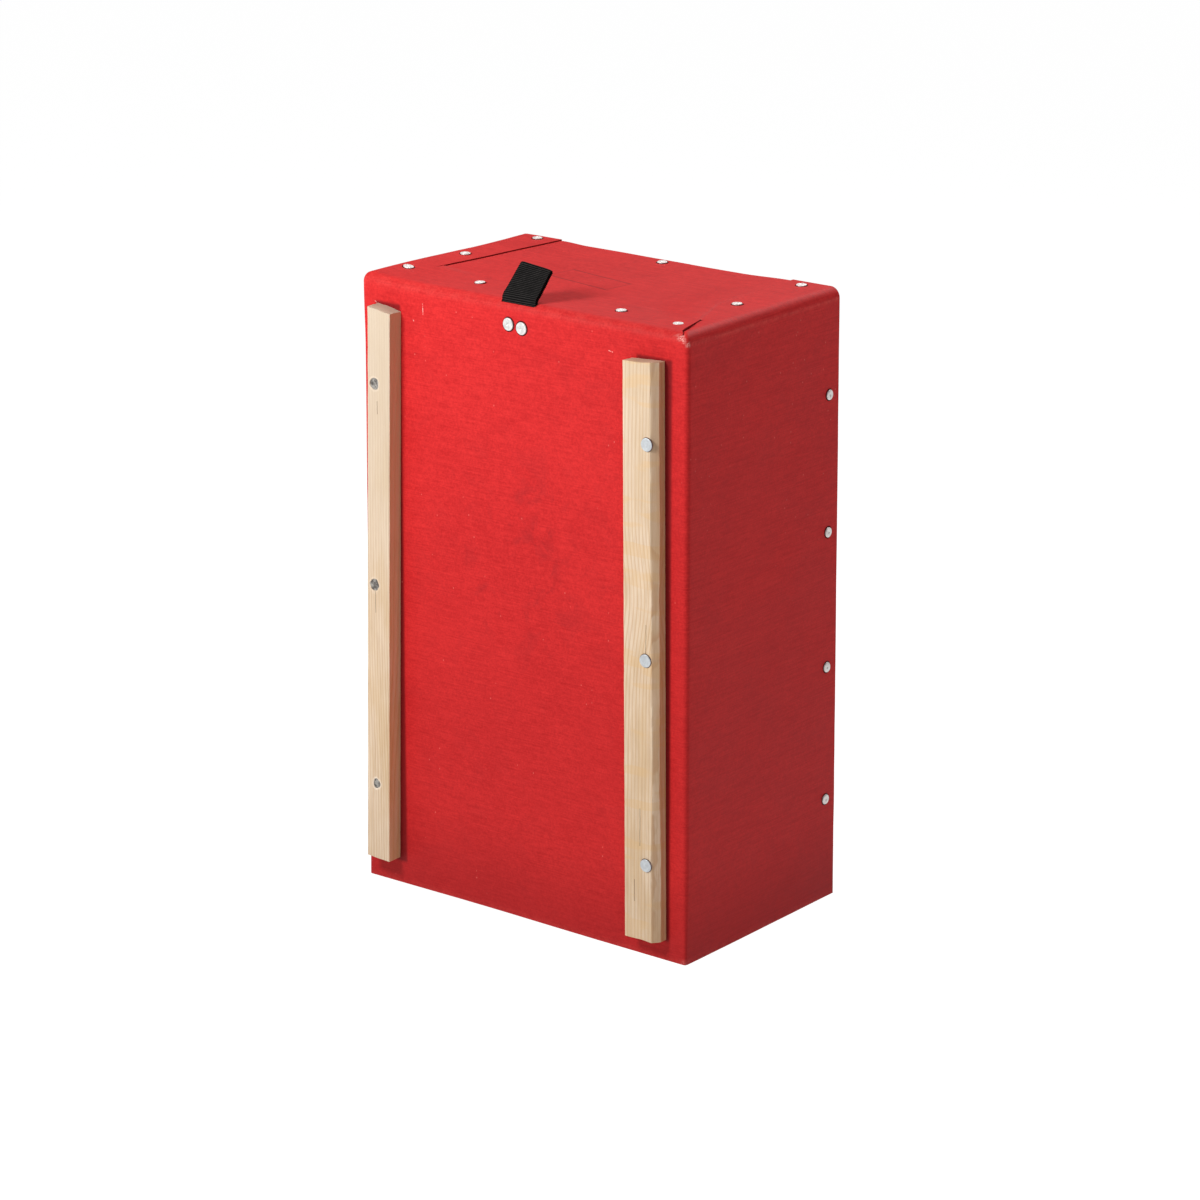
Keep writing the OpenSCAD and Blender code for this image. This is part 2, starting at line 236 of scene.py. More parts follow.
class Nodes:
    """Short calls for building a material's node tree."""

    def __init__(self, name):
        self.material = bpy.data.materials.new(name)
        self.material.use_nodes = True
        self.tree = self.material.node_tree
        self.tree.nodes.clear()
        output = self.add("ShaderNodeOutputMaterial")
        self.shader = self.add("ShaderNodeBsdfPrincipled")
        self.link(self.shader.outputs["BSDF"], output.inputs["Surface"])

    def add(self, kind, **settings):
        node = self.tree.nodes.new(kind)
        for key, value in settings.items():
            setattr(node, key, value)
        return node

    def link(self, out, into):
        self.tree.links.new(out, into)

    def put(self, socket, value):
        if isinstance(value, bpy.types.NodeSocket):
            self.link(value, socket)
        else:
            socket.default_value = value

    def set(self, **inputs):
        """Sets the shader's inputs, named with underscores for spaces."""
        for key, value in inputs.items():
            self.put(self.shader.inputs[key.replace("_", " ")], value)

    def position(self):
        return self.add("ShaderNodeTexCoord").outputs["Object"]

    def stretch(self, vector, scale):
        node = self.add("ShaderNodeMapping")
        self.put(node.inputs["Vector"], vector)
        node.inputs["Scale"].default_value = scale
        return node.outputs["Vector"]

    def noise(self, vector, scale, detail=4.0, rough=0.5, distortion=0.0):
        """Noise of one scale, or of a scale along each axis."""
        if isinstance(scale, tuple):
            vector = self.stretch(vector, scale)
            scale = 1.0
        node = self.add("ShaderNodeTexNoise")
        self.put(node.inputs["Vector"], vector)
        node.inputs["Scale"].default_value = scale
        node.inputs["Detail"].default_value = detail
        node.inputs["Roughness"].default_value = rough
        node.inputs["Distortion"].default_value = distortion
        return node.outputs["Fac"]

    def math(self, operation, a, b=0.0):
        node = self.add("ShaderNodeMath", operation=operation)
        self.put(node.inputs[0], a)
        self.put(node.inputs[1], b)
        return node.outputs[0]

    def times(self, a, b):
        return self.math("MULTIPLY", a, b)

    def weigh(self, *pairs):
        """Sum of values times weights, given as (value, weight) pairs."""
        total = 0.0
        for value, weight in pairs:
            total = self.math("ADD", total, self.times(value, weight))
        return total

    def remap(self, value, low, high, to_low=0.0, to_high=1.0):
        node = self.add("ShaderNodeMapRange", interpolation_type="SMOOTHSTEP")
        self.put(node.inputs["Value"], value)
        for key, number in zip(("From Min", "From Max", "To Min", "To Max"), (low, high, to_low, to_high)):
            node.inputs[key].default_value = number
        return node.outputs["Result"]

    def mix(self, factor, a, b):
        node = self.add("ShaderNodeMix", data_type="RGBA")
        self.put(node.inputs["Factor"], factor)
        self.put(node.inputs["A"], a)
        self.put(node.inputs["B"], b)
        return node.outputs["Result"]

    def split(self, vector):
        node = self.add("ShaderNodeSeparateXYZ")
        self.put(node.inputs[0], vector)
        return node.outputs

    def join(self, x, y, z):
        node = self.add("ShaderNodeCombineXYZ")
        for socket, value in zip(node.inputs, (x, y, z)):
            self.put(socket, value)
        return node.outputs[0]

    def attribute(self, name):
        return self.add("ShaderNodeAttribute", attribute_name=name).outputs["Fac"]

    def bump(self, height, strength, distance, under=None):
        node = self.add("ShaderNodeBump")
        self.put(node.inputs["Height"], height)
        node.inputs["Strength"].default_value = strength
        node.inputs["Distance"].default_value = distance
        if under is not None:
            self.link(under, node.inputs["Normal"])
        return node.outputs["Normal"]

    def turned(self, u, v, centre, angle):
        """Coordinates about a centre, turned by an angle in degrees."""
        du = self.math("SUBTRACT", u, centre[0])
        dv = self.math("SUBTRACT", v, centre[1])
        c, s = math.cos(math.radians(angle)), math.sin(math.radians(angle))
        return self.weigh((du, c), (dv, s)), self.weigh((du, -s), (dv, c))

    def oblong(self, u, v, centre, size, angle, edge):
        """1 inside an oblong of this full size, falling to 0 over edge."""
        a, b = self.turned(u, v, centre, angle)
        inside_a = self.remap(self.math("ABSOLUTE", a), size[0] / 2 - edge, size[0] / 2, 1.0, 0.0)
        inside_b = self.remap(self.math("ABSOLUTE", b), size[1] / 2 - edge, size[1] / 2, 1.0, 0.0)
        return self.times(inside_a, inside_b)


def rgb(r, g, b):
    return (r, g, b, 1.0)


# Thin pale scratches near the top of the front, in millimetres and degrees: x, distance below the top,
# length, angle.
SCRATCHES = [(-161, 21, 6, 62), (-157, 24, 5, 20), (-108, 20, 10, 3), (-119, 31, 3, 50), (96, 26, 5, 80)]


def fibre_material():
    """Red hard fibreboard: fine fibre streaks, mottling, pale specks, rubbed folds and a few marks, with
    painted shade low down and beside the runners.
    """
    n = Nodes("red_fibre")
    place = n.position()
    x, y, z = n.split(place)
    normal = n.split(n.add("ShaderNodeNewGeometry").outputs["Normal"])
    flat = n.remap(n.math("ABSOLUTE", normal[2]), 0.6, 0.8)
    front = n.remap(y, FRONT_Y + 4 * MM, FRONT_Y + 6 * MM, 1.0, 0.0)
    wall_streaks = n.noise(place, (30, 30, 900), 4.0, 0.6)
    top_streaks = n.noise(place, (30, 900, 30), 4.0, 0.6)
    streaks = n.mix(flat, wall_streaks, top_streaks)
    cloud = n.noise(place, 8.0, 5.0, 0.6)
    grain = n.noise(place, 520.0, 3.0, 0.65)
    mottle = n.noise(n.stretch(place, (0.6, 0.6, 1.0)), 260.0, 3.0, 0.6)
    tone = n.weigh((streaks, 0.44), (cloud, 0.28), (grain, 0.50), (mottle, 0.24))
    colour = n.mix(n.remap(tone, 0.48, 0.98), rgb(0.430, 0.0092, 0.0112), rgb(0.650, 0.0270, 0.0265))
    # Painted shade: the walls are darker towards the bottom, and the right wall is darker over more of its
    # height.
    right = n.remap(normal[0], 0.5, 0.9)
    low = n.remap(z, 0.0, 0.10, 1.0, 0.0)
    painted_lower_right_shade = n.times(right, n.remap(z, 0.0, 0.45, 1.0, 0.2))
    painted_low_shade = n.weigh((low, 0.34), (painted_lower_right_shade, 0.13))
    colour = n.mix(painted_low_shade, colour, rgb(0.16, 0.004, 0.006))
    # Painted shadow beside each runner, wider on its right side.
    colour = n.mix(runner_shadows(n, x, z, front), colour, rgb(0.085, 0.004, 0.006))
    # Darker smudges where the sheet has been handled, mostly half way up the front.
    hands = n.times(front, n.oblong(x, z, (0.0, 0.33), (0.17, 0.20), 0, 0.06))
    smudge = n.remap(n.noise(place, 34.0, 5.0, 0.65, 0.6), 0.50, 0.68)
    smudge = n.times(smudge, n.weigh((hands, 0.26), (1.0, 0.10)))
    colour = n.mix(smudge, colour, rgb(0.26, 0.014, 0.018))
    # Pale specks of undyed fibre.
    specks = n.add("ShaderNodeTexVoronoi", feature="F1")
    n.put(specks.inputs["Vector"], n.stretch(place, (1.0, 1.0, 0.7)))
    specks.inputs["Scale"].default_value = 170.0
    near = n.remap(specks.outputs["Distance"], 0.06, 0.13, 1.0, 0.0)
    few = n.remap(n.split(specks.outputs["Color"])[0], 0.94, 0.96)
    colour = n.mix(n.times(n.times(near, few), 0.34), colour, rgb(0.80, 0.22, 0.19))
    colour = n.mix(label_ghost(n, x, y, z), colour, rgb(0.23, 0.012, 0.014))
    # Folds and corners rub pale. The vertex attributes are highest there.
    uneven = n.remap(n.noise(place, 130.0, 4.0, 0.7), 0.38, 0.62, 0.3, 1.0)
    rub = n.times(n.attribute("wear"), uneven)
    colour = n.mix(rub, colour, rgb(0.86, 0.16, 0.13))
    torn = n.remap(n.noise(n.stretch(place, (1.0, 1.0, 1.6)), 620.0, 4.0, 0.7), 0.44, 0.54)
    bare = n.times(n.attribute("scuff"), torn)
    colour = n.mix(bare, colour, rgb(0.88, 0.52, 0.46))
    broken = n.remap(n.noise(place, 600.0, 3.0, 0.6), 0.38, 0.55)
    for sx, below, length, angle in SCRATCHES:
        line = n.oblong(x, z, (sx * MM, TOP_Z - below * MM), (1.2 * MM, length * MM), angle, 0.4 * MM)
        line = n.times(n.times(line, broken), front)
        colour = n.mix(n.times(line, 0.80), colour, rgb(0.90, 0.42, 0.38))
    rough = n.remap(n.weigh((grain, 0.5), (cloud, 0.5)), 0.3, 0.7, 0.52, 0.68)
    coarse = n.bump(n.weigh((streaks, 0.45), (cloud, 0.5)), 0.22, 0.25 * MM)
    n.set(Base_Color=colour, Roughness=rough, Specular_IOR_Level=0.10)
    n.set(Sheen_Weight=0.07, Sheen_Roughness=0.35, Sheen_Tint=rgb(1.0, 0.75, 0.70))
    n.set(Normal=n.bump(grain, 0.30, 0.10 * MM, coarse))
    return n.material


def runner_shadows(n, x, z, front):
    """Painted shadow along each runner, wider on its right."""
    total = 0.0
    for node, lean in (("runner_left", -0.4 * MM), ("runner_right", 0.6 * MM)):
        lo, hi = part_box(node)
        centre = ((lo.x + hi.x) / 2 + lean + 1.6 * MM, (lo.z + hi.z) / 2)
        size = (hi.x - lo.x + 6 * MM, hi.z - lo.z + 5 * MM)
        total = n.math("ADD", total, n.oblong(x, z, centre, size, 0, 3.4 * MM))
    return n.times(total, n.times(front, 0.72))


def label_ghost(n, x, y, z):
    """Faint outline left by a label on the end wall."""
    centre = (-16 * MM, FRONT_Y + 113 * MM)
    outer = n.oblong(x, y, centre, (74 * MM, 32 * MM), -9, 0.5 * MM)
    inner = n.oblong(x, y, centre, (72.0 * MM, 28.2 * MM), -9, 0.5 * MM)
    outline = n.math("SUBTRACT", outer, inner)
    on_top = n.remap(z, TOP_Z - 6 * MM, TOP_Z - 5 * MM)
    return n.times(n.weigh((outline, 0.62), (outer, 0.05)), on_top)


def cut_edge_material():
    """The sheet's cut edges: darker, dull and a little fuzzy."""
    n = Nodes("fibre_cut_edge")
    fuzz = n.noise(n.position(), 700.0, 4.0, 0.7)
    n.set(Base_Color=n.mix(fuzz, rgb(0.16, 0.006, 0.008), rgb(0.34, 0.020, 0.020)), Roughness=0.85)
    n.set(Specular_IOR_Level=0.1, Normal=n.bump(fuzz, 0.5, 0.15 * MM))
    return n.material


def inner_material():
    """The inner side of the fibreboard, duller and browner."""
    n = Nodes("fibre_inside")
    place = n.position()
    grain = n.noise(place, (60, 60, 500), 5.0, 0.65)
    cloud = n.noise(place, 14.0, 4.0, 0.6)
    tone = n.weigh((grain, 0.5), (cloud, 0.5))
    n.set(Base_Color=n.mix(n.remap(tone, 0.3, 0.7), rgb(0.27, 0.016, 0.016), rgb(0.40, 0.030, 0.028)))
    n.set(Roughness=0.78, Specular_IOR_Level=0.2, Normal=n.bump(grain, 0.4, 0.2 * MM))
    return n.material


def pine_material(name, pith, pitch, node, splits, painted_top_shade, resin=0.0, swing=None):
    """Rough sawn pine: growth rings about a pith line beside the lath, fibre streaks and splits."""
    n = Nodes(name)
    lo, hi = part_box(node)
    place = n.position()
    x, y, z = n.split(place)
    sway = n.noise(place, (10, 10, 3.2), 2.0, 0.5)
    bent = n.weigh((x, 1.0), (sway, 0.010))
    if swing:
        # The grain swings aside where it passed a branch.
        away = n.math("DIVIDE", n.math("SUBTRACT", z, swing[0]), swing[1])
        bell = n.math("POWER", math.e, n.weigh((n.times(away, away), -1.0)))
        bent = n.weigh((bent, 1.0), (bell, -swing[2]))
    from_pith = n.join(n.math("SUBTRACT", bent, pith[0]), n.math("SUBTRACT", y, pith[1]), 0.0)
    length = n.add("ShaderNodeVectorMath", operation="LENGTH")
    n.put(length.inputs[0], from_pith)
    fray = n.noise(place, (260, 260, 14), 3.0, 0.6)
    rings = n.math("FRACT", n.weigh((length.outputs["Value"], 1 / pitch), (fray, 0.35)))
    late = n.times(n.remap(rings, 0.45, 0.88), n.remap(rings, 0.88, 1.0, 1.0, 0.0))
    fibre = n.noise(place, (950, 950, 26), 4.0, 0.65)
    patches = n.noise(place, (34, 34, 10), 4.0, 0.6)
    colour = n.mix(n.remap(patches, 0.35, 0.68), rgb(0.755, 0.600, 0.445), rgb(0.665, 0.490, 0.310))
    colour = n.mix(n.times(late, 0.50), colour, rgb(0.54, 0.305, 0.155))
    colour = n.mix(n.remap(fibre, 0.40, 0.72, 0.0, 0.42), colour, rgb(0.47, 0.30, 0.18))
    # Painted shade: the lath is darker and browner towards its top end.
    colour = n.mix(n.remap(z, painted_top_shade[0], hi.z, 0.0, painted_top_shade[1]), colour, rgb(0.52, 0.43, 0.33))
    if resin:
        bands = n.noise(place, (14, 14, 60), 2.0, 0.5)
        colour = n.mix(n.remap(bands, 0.54, 0.60, 0.0, resin), colour, rgb(0.68, 0.43, 0.19))
    # The side faces turned to the right are painted orange: partly aged wood, partly painted red light
    # thrown back from the box.
    side = n.remap(n.split(n.add("ShaderNodeNewGeometry").outputs["Normal"])[0], 0.82, 0.95)
    colour = n.mix(n.times(side, 0.45), colour, rgb(0.64, 0.22, 0.035))
    # The waned edge is browner, the wood torn round a rivet is paler, and the foot is darker.
    colour = n.mix(n.times(n.attribute("bark"), 0.34), colour, rgb(0.40, 0.19, 0.085))
    colour = n.mix(n.times(n.attribute("torn"), 0.75), colour, rgb(0.90, 0.76, 0.62))
    foot = n.remap(n.weigh((z, 1.0), (patches, -0.06)), lo.z - 0.02, lo.z + 0.05, 0.06, 0.0)
    colour = n.mix(foot, colour, rgb(0.40, 0.27, 0.17))
    for sx, sz, tall in splits:
        crack = n.oblong(bent_line(n, x, z), z, (sx, sz), (0.8 * MM, tall), 0, 0.35 * MM)
        colour = n.mix(n.times(crack, 0.85), colour, rgb(0.07, 0.03, 0.015))
    rough = n.remap(fibre, 0.2, 0.8, 0.66, 0.84)
    n.set(Base_Color=colour, Roughness=rough, Specular_IOR_Level=0.15)
    fuzz = n.noise(place, (240, 240, 1500), 3.0, 0.6)
    low = n.bump(n.weigh((fibre, 1.0), (late, 0.6)), 0.55, 0.30 * MM)
    n.set(Normal=n.bump(fuzz, 0.25, 0.15 * MM, low))
    return n.material


def bent_line(n, x, z):
    """A sideways coordinate that wanders with height, for splits that follow the grain."""
    wander = n.noise(n.join(0.0, 0.0, z), 60.0, 3.0, 0.6)
    return n.weigh((x, 1.0), (wander, 1.6 * MM), (1.0, -0.8 * MM))


def webbing_material():
    """Black ribbed webbing: dark between the ribs, dusty on top of them."""
    n = Nodes("webbing_black")
    place = n.position()
    rib = n.attribute("rib")
    yarn = n.noise(place, (620, 60, 60), 2.0, 0.5)
    dust = n.noise(place, 120.0, 3.0, 0.6)
    high = n.times(n.remap(rib, 0.55, 0.98), n.remap(yarn, 0.38, 0.60, 0.75, 1.0))
    high = n.times(high, n.remap(dust, 0.35, 0.65, 0.7, 1.0))
    colour = n.mix(high, rgb(0.0012, 0.0010, 0.0010), rgb(0.042, 0.038, 0.036))
    n.set(Base_Color=colour, Roughness=0.80, Specular_IOR_Level=0.08)
    n.set(Normal=n.bump(yarn, 0.2, 0.1 * MM))
    return n.material


def zinc_material(name, bright, dull, stain, metallic):
    """Zinc-plated steel: chalky bloom, handling marks and a darker film."""
    n = Nodes(name)
    place = n.position()
    film = n.noise(place, 700.0, 5.0, 0.65)
    blotch = n.noise(place, 260.0, 4.0, 0.65)
    colour = n.mix(n.remap(blotch, 0.38, 0.62, 0.0, stain), bright, dull)
    n.set(Base_Color=colour, Metallic=metallic, Roughness=n.remap(film, 0.3, 0.7, 0.36, 0.56))
    n.set(Normal=n.bump(film, 0.18, 0.06 * MM))
    return n.material


def grime_and_shadow_material():
    """The dark line round a rivet's head: partly dirt, partly painted shadow under its edge."""
    n = Nodes("grime_and_shadow")
    dirt = n.noise(n.position(), 500.0)
    n.set(Base_Color=n.mix(dirt, rgb(0.045, 0.010, 0.010), rgb(0.11, 0.016, 0.016)))
    n.set(Roughness=0.9, Specular_IOR_Level=0.05)
    return n.material


SHEET_SIDES = [fibre_material(), cut_edge_material(), inner_material()]
PINE_LEFT = pine_material(
    "pine_left", (-0.225, FRONT_Y + 0.03), 2.5 * MM, "runner_left",
    splits=[(-0.1532, 0.2640, 0.020), (-0.1480, 0.4400, 0.012)], painted_top_shade=(0.15, 0.80))
PINE_RIGHT = pine_material(
    "pine_right", (0.072, FRONT_Y + 0.05), 2.7 * MM, "runner_right",
    splits=[(0.1440, 0.2870, 0.026), (0.1385, 0.1200, 0.034), (0.1330, 0.0620, 0.020)],
    painted_top_shade=(0.30, 0.30), resin=0.32, swing=(0.320, 0.045, 8 * MM))
ZINC_BRIGHT = zinc_material("zinc_bright", rgb(0.90, 0.86, 0.83), rgb(0.56, 0.50, 0.48), 0.50, 0.25)
ZINC_SOFT = zinc_material("zinc_soft", rgb(0.70, 0.69, 0.67), rgb(0.42, 0.41, 0.40), 0.55, 0.30)
ZINC_DULL = zinc_material("zinc_dull", rgb(0.58, 0.61, 0.63), rgb(0.42, 0.44, 0.46), 0.6, 0.40)
ZINC_DARK = zinc_material("zinc_dark", rgb(0.36, 0.34, 0.31), rgb(0.085, 0.075, 0.068), 1.0, 0.35)
GRIME_AND_SHADOW = grime_and_shadow_material()


# -------- fibre sheets

def waves(points, seed, size):
    """Slow random swell of a sheet, from -1 to 1."""
    offset = Vector((seed * 3.1, seed * 1.7, seed * 0.9))
    return np.array([noise.noise(Vector(p) / size + offset) for p in points])


def held_down(points):
    """1 where a rivet or a runner holds the sheet still, falling to 0 away from them."""
    gap = np.min(np.linalg.norm(points[:, None] - RIVET_POINTS[None], axis=2), axis=1)
    held = 1 - smooth(12 * MM, 34 * MM, gap)
    for node in ("runner_left", "runner_right"):
        lo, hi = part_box(node)
        side = np.maximum(lo.x - points[:, 0], points[:, 0] - hi.x)
        ends = np.maximum(lo.z - points[:, 2], points[:, 2] - hi.z)
        away = np.maximum(np.maximum(side, ends), 0)
        on_front = points[:, 1] < FRONT_Y + 12 * MM
        held = np.maximum(held, on_front * (1 - smooth(0.0, 30 * MM, away)))
    return held


class SheetGrid:
    """Collects grid patches of a folded sheet and joins them where their points meet."""

    def __init__(self):
        self.points = []
        self.faces = []
        self.index = {}

    def point(self, p):
        key = tuple(int(round(c * 1e6)) for c in p)
        if key not in self.index:
            self.index[key] = len(self.points)
            self.points.append(tuple(p))
        return self.index[key]

    def patch(self, rows):
        """Rows of points, which run anticlockwise seen from outside the sheet."""
        ids = [[self.point(p) for p in row] for row in rows]
        for a, b in zip(ids, ids[1:]):
            for i in range(len(a) - 1):
                face = [a[i], a[i + 1], b[i + 1], b[i]]
                face = [v for k, v in enumerate(face) if v != face[k - 1]]
                if len(set(face)) > 2:
                    self.faces.append(face)

    def drop(self, inside):
        """Removes the faces whose centre passes a test."""
        points = np.array(self.points)
        self.faces = [f for f in self.faces if not inside(points[f].mean(0))]


def thicken(piece, swell, seed):
    """Swells the sheet a little, gives it its thickness and flares it with the box."""
    mesh = piece.data
    mesh.update()
    points = points_of(mesh)
    normals = np.array([v.normal for v in mesh.vertices])
    amount = swell * waves(points, seed, 0.13) + 0.14 * MM * waves(points, seed + 4, 0.034)
    points = points + normals * (amount * (1 - 0.92 * held_down(points)))[:, None]
    mesh.vertices.foreach_set("co", points.ravel())
    modify(piece, "SOLIDIFY", thickness=SHEET, offset=-1.0, use_even_offset=True,
           material_offset=2, material_offset_rim=1)
    mesh = piece.data
    points = settle(points_of(mesh))
    mesh.vertices.foreach_set("co", points.ravel())
    shade(piece, 42)


# How far the end wall lies below the left tab, along the tab's edge.
LEFT_STEP = 1.2 * MM


def edge_inset(outline, depth):
    """Inset of a tab's free edge from the side wall, at this depth."""
    return float(np.interp(depth, [p[1] for p in outline], [p[0] for p in outline]))


def end_wall_z(depth, gap):
    """Height of the end wall at a depth, where gap is the distance to the nearer tab's edge."""
    sink = min(1.0, max(0.0, (depth - END_FOLD_R) / (SINK_DEPTH - END_FOLD_R)))
    held = (1 - ease(4 * MM, 45 * MM, gap)) * (1 - ease(60 * MM, 72 * MM, depth))
    return TOP_Z - TAB_STEP * sink * (1 - held)


def right_step(depth):
    """How far the end wall lies below the right tab, along the tab's edge."""
    return (0.15 + 0.95 * ease(120 * MM, DEPTH, depth)) * MM


def bulge(step, gap, reach, depth, start):
    """The end wall bears up against a tab's edge, behind start, and lies lower away from it."""
    near = ease(reach, 3 * MM, gap)
    return (TAB_STEP - step) * near * ease(start, 72 * MM, depth)


ARC = [math.radians(a) for a in steps(0, 90, 9)]
DEPTHS = steps(END_FOLD_R, 64 * MM, 16) + steps(64 * MM, 74 * MM, 5)[1:] + steps(74 * MM, DEPTH, 32)[1:]
SLIT_X = HALF_W - RIGHT_TAB[0][0]
LEFT_EDGE_X = -HALF_W + LEFT_TAB[0][0]
FLAT_X = HALF_W - END_FOLD_R
# Stations across the front. Five lie over each tab, and the last of them is on its edge.
COLUMNS = steps(-FLAT_X, LEFT_EDGE_X, 4) + steps(LEFT_EDGE_X, SLIT_X, 72)[1:]
COLUMNS += steps(SLIT_X, FLAT_X, 4)[1:]


def wrap_level(z, inset):
    """One level of the wrap: left wall, front and right wall, as lists that share their ends."""
    corner = 2.6 * MM + (SIDE_FOLD_R - 3.2 * MM) * ease(0, 90 * MM, z)
    r = max(corner, inset)
    flat = HALF_W - r
    reach = r - inset
    scale = (DEPTH - r) / (DEPTH - END_FOLD_R)
    depths = [r + (d - END_FOLD_R) * scale for d in DEPTHS]
    fold = [(flat + reach * math.cos(a), FRONT_Y + r - reach * math.sin(a)) for a in ARC]
    left = [(-HALF_W + inset, FRONT_Y + d, z) for d in reversed(depths)]
    left += [(-x, y, z) for x, y in fold[1:]]
    front = [(x * flat / FLAT_X, FRONT_Y + inset, z) for x in COLUMNS]
    right = [(x, y, z) for x, y in reversed(fold)]
    right += [(HALF_W - inset, FRONT_Y + d, z) for d in depths[1:]]
    return left, front, right


def build_wrap(grid):
    """The shell's three walls and the folds round its closed end, cut open where the slit begins."""
    heights = steps(0, TOP_Z - 60 * MM, 84) + steps(TOP_Z - 60 * MM, TOP_Z - END_FOLD_R, 16)[1:]
    levels = [wrap_level(z, 0.0) for z in heights]
    for a in ARC[1:]:
        inset = END_FOLD_R * (1 - math.cos(a))
        z = TOP_Z - END_FOLD_R + END_FOLD_R * math.sin(a)
        shape = wrap_level(TOP_Z - END_FOLD_R, inset)
        levels.append([[(x, y, z) for x, y, _ in part] for part in shape])
    walls = [left + front[1:] for left, front, _ in levels]
    cut = len(walls[0]) - 5
    grid.patch([row[:cut + 1] for row in walls])
    tail = [row[cut:] + right[1:] for row, (_, _, right) in zip(walls, levels)]
    for k, a in enumerate(ARC[1:]):
        row = tail[len(heights) + k]
        opened = ease(math.radians(35), math.radians(85), a)
        row[:5] = pressed(row[:5], opened * slit_dip(END_FOLD_R))
    grid.patch(tail)


def slit_dip(depth):
    """How far the right tab's edge hangs open below the end wall, along the slit."""
    return 1.8 * MM * (1 - 0.65 * ease(16 * MM, 46 * MM, depth))


def pressed(row, dip):
    """A row of points with its first end pressed down by dip, and the gap's edge drawn back a little."""
    count = len(row) - 1
    out = []
    for i, (x, y, z) in enumerate(row):
        fall = dip * (1 - i / count) ** 1.5
        out.append((x + (0.25 * fall if i == 0 else 0), y + 0.3 * fall, z - fall))
    return out


def build_end(grid):
    """The left tab, the end wall and the right tab on top."""
    left_rows, end_rows, right_rows = [], [], []
    for depth in DEPTHS:
        y = FRONT_Y + depth
        left_edge = -HALF_W + edge_inset(LEFT_TAB, depth)
        right_edge = HALF_W - edge_inset(RIGHT_TAB, depth)
        over = 1 - ease(48 * MM, 52 * MM, depth)
        left_rows.append([(x, y, TOP_Z) for x in steps(-FLAT_X, left_edge, 4)])
        end_rows.append(end_wall_row(depth, left_edge, right_edge, over))
        row = [(right_edge + (FLAT_X - right_edge) * t, y, TOP_Z) for t in steps(0, 1, 4)]
        right_rows.append(pressed(row, slit_dip(depth) * over))
    join_to_fold(left_rows, end_rows, right_rows)
    for rows in (left_rows, end_rows, right_rows):
        grid.patch(rows)


def end_wall_row(depth, left_edge, right_edge, over):
    """The end wall at one depth, with two points under each tab where it runs under the tab."""
    y = FRONT_Y + depth
    opened = ease(67 * MM, 72 * MM, depth)
    wall = []
    for t in steps(0, 1, 72):
        x = left_edge + (right_edge - left_edge) * t
        from_left, from_right = x - left_edge, right_edge - x
        z = end_wall_z(depth, min(from_left, from_right))
        z += (bulge(LEFT_STEP, from_left, 30 * MM, depth, 60 * MM)
              + bulge(right_step(depth), from_right, 55 * MM, depth, 58 * MM))
        wall.append((x, y, z))
    if opened > 0:
        sunk = TOP_Z - TAB_STEP * opened
        wall[0] = (left_edge + 0.2 * MM, y, TOP_Z - LEFT_STEP * opened)
        wall = [(left_edge - 8 * MM, y, sunk), (left_edge - 4 * MM, y, sunk)] + wall
    else:
        wall = [wall[0]] * 2 + wall
    if over < 1:
        sunk = TOP_Z - TAB_STEP * (1 - over)
        wall[-1] = (right_edge - 0.2 * MM, y, TOP_Z - right_step(depth) * (1 - over))
        return wall + [(right_edge + 4 * MM, y, sunk), (right_edge + 8 * MM, y, sunk)]
    wall[-1] = (right_edge, y, TOP_Z + 0.2 * MM * ease(9 * MM, 20 * MM, depth))
    return wall + [wall[-1]] * 2


def join_to_fold(left_rows, end_rows, right_rows):
    """Puts the first row of the top on the last row of the front fold, so that they meet."""
    y = FRONT_Y + END_FOLD_R
    left_rows[0] = [(x, y, TOP_Z) for x in COLUMNS[:5]]
    wall = [(x, y, TOP_Z) for x in COLUMNS[4:-4]]
    end_rows[0] = [wall[0]] * 2 + wall + [wall[-1]] * 2
    right_rows[0] = pressed([(x, y, TOP_Z) for x in COLUMNS[-5:]], slit_dip(END_FOLD_R))


def paint(piece, scuffs=()):
    """Wear and scuff attributes, from each point's place on the box."""
    mesh = piece.data
    points = points_of(mesh)
    x, y, z = points.T
    side = HALF_W - np.abs(x)
    depth = y - FRONT_Y
    below = TOP_Z - z
    front_fold = smooth(9 * MM, 1 * MM, np.hypot(depth - 2 * MM, below - 2 * MM))
    near_fold = smooth(2.2 * MM, 0.4 * MM, np.abs(below - END_FOLD_R + 0.5 * MM))
    crease = near_fold * smooth(4 * MM, 1 * MM, side)
    foot = smooth(5 * MM, 0, z)
    wear = np.maximum.reduce([0.10 * front_fold, 0.20 * crease, 0.12 * foot])
    scuff = np.zeros(len(points))
    for place, reach, strength in scuffs:
        away = np.linalg.norm(points - np.array(place), axis=1)
        scuff = np.maximum(scuff, strength * smooth(reach, reach * 0.3, away))
    set_values(mesh, "wear", wear)
    set_values(mesh, "scuff", scuff)


